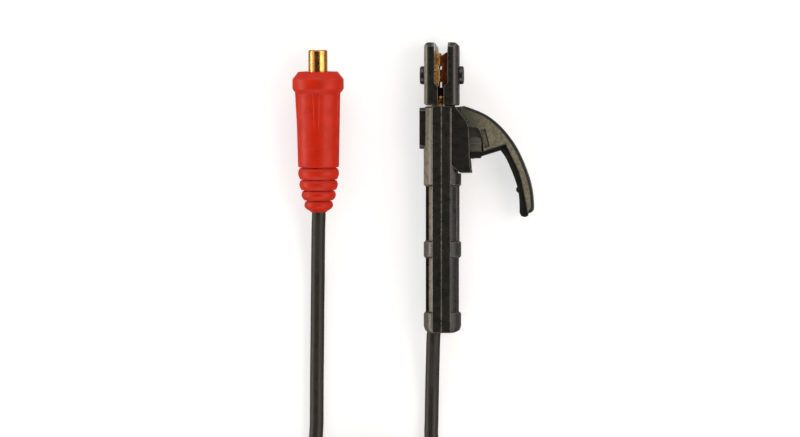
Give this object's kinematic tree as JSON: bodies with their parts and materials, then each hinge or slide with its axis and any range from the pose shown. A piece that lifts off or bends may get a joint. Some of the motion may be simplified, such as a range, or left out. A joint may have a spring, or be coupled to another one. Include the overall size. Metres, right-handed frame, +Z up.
{
  "type": "electrode holder lead",
  "caption": "Stick-welding electrode holder with a squeeze lever, on a coiled welding cable that ends in a bayonet cable plug.",
  "frame": {"origin": "middle of the flat keel that the handle lies on, on the table", "axes": "+Y along the handle towards the jaws, +X towards the lever, +Z up from the table"},
  "size_m": [0.1888, 0.4329, 0.0354],
  "materials": {
    "black_moulding": "black phenolic moulding, satin to glossy, with pale worn edges",
    "brass": "cast brass, rough satin",
    "bronze": "cast copper alloy with a dark red-brown skin",
    "machined_brass": "turned brass, fine machining marks",
    "steel": "plain steel",
    "copper": "bare copper",
    "cable_rubber": "black rubber jacket, matt",
    "red_rubber": "red moulded rubber, satin"
  },
  "bodies": {
    "holder_and_cable": {"handle": "black_moulding", "handle_screw": "steel", "fixed_jaw": "brass", "fixed_jaw_insulator": "black_moulding", "fixed_jaw_screw": "black_moulding", "pivot_pin": "steel", "lever_spring": "steel", "holder_ferrule": "copper", "holder_conductor": "copper", "cable_in_handle": "cable_rubber", "holder_clamp_screw_1": "steel", "holder_clamp_screw_2": "steel", "cable_holder_lead": "cable_rubber", "cable_coil": "cable_rubber", "cable_plug_lead": "cable_rubber", "cable_in_plug": "cable_rubber", "plug_sleeve": "red_rubber", "plug_body": "machined_brass", "plug_ferrule": "copper", "plug_conductor": "copper", "plug_clamp_screw_1": "steel", "plug_clamp_screw_2": "steel"},
    "lever_and_jaw": {"lever": "black_moulding", "lever_pin": "steel", "moving_jaw": "bronze", "moving_jaw_insulator": "black_moulding", "moving_jaw_screw": "black_moulding"}
  },
  "joints": [
    {"name": "lever_squeeze", "type": "hinge", "parent": "holder_and_cable", "child": "lever_and_jaw", "pos_m": [0.0065, 0.0645, 0.0133], "axis": [0, 0, -1], "range_deg": [0, 20], "stiffness_Nm_per_rad": 1.2, "springref_deg": -28.65, "deforming": ["lever_spring"]}
  ]
}
